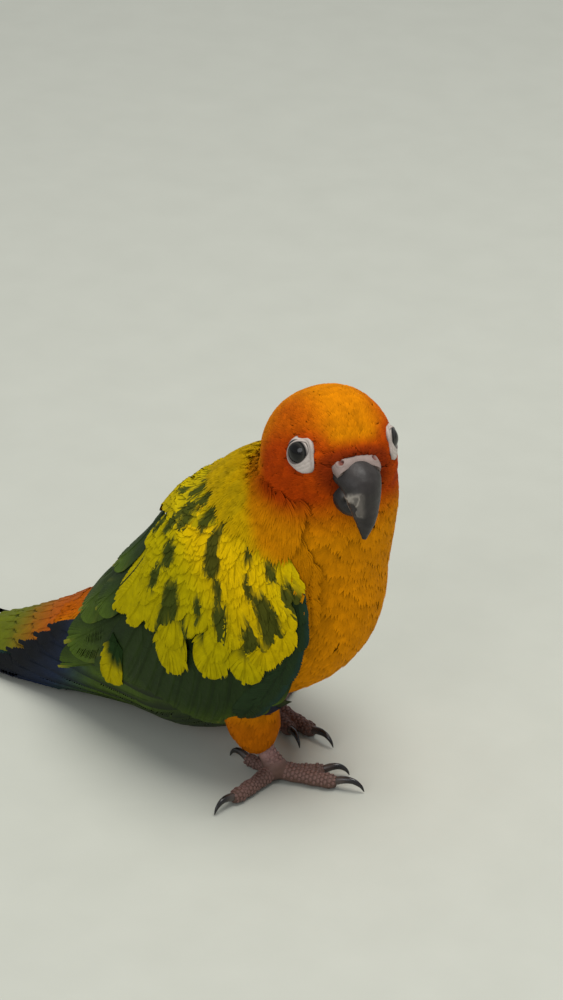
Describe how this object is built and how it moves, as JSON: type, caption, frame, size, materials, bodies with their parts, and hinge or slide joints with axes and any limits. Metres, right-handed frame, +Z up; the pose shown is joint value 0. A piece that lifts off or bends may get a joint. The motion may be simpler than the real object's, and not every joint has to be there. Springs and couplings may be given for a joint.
{
  "type": "sun conure",
  "caption": "Life-size still model of a young sun conure standing on a floor with its head turned to its right, its wings folded and its long tail laid behind it.",
  "frame": {"origin": "on the floor under the middle of the whole bird's bounding box", "axes": "+X from the tail to the breast, +Y to the bird's left, +Z up"},
  "size_m": [0.2204, 0.0678, 0.1063],
  "materials": {
    "plumage_orange": "soft feather orange",
    "plumage_wing": "soft feather, yellow and green",
    "plumage_tail": "soft feather, olive to black",
    "bill_horn": "satin horn",
    "cere_skin": "matt bare skin",
    "eye_wet": "wet gloss",
    "foot_skin": "matt scaled skin",
    "claw_horn": "satin horn"
  },
  "bodies": {
    "root": {"torso": "plumage_orange", "neck": "plumage_orange", "head": "plumage_orange", "bill_upper": "bill_horn", "bill_lower": "bill_horn", "cere": "cere_skin", "eye_right": "eye_wet", "eye_left": "eye_wet", "wing_right": "plumage_wing", "wing_left": "plumage_wing", "tail": "plumage_tail", "thigh_right": "plumage_orange", "thigh_left": "plumage_orange", "foot_right": "foot_skin", "foot_left": "foot_skin", "claw_right_1": "claw_horn", "claw_right_2": "claw_horn", "claw_right_3": "claw_horn", "claw_right_4": "claw_horn", "claw_left_1": "claw_horn", "claw_left_2": "claw_horn", "claw_left_3": "claw_horn", "claw_left_4": "claw_horn"}
  },
  "joints": []
}
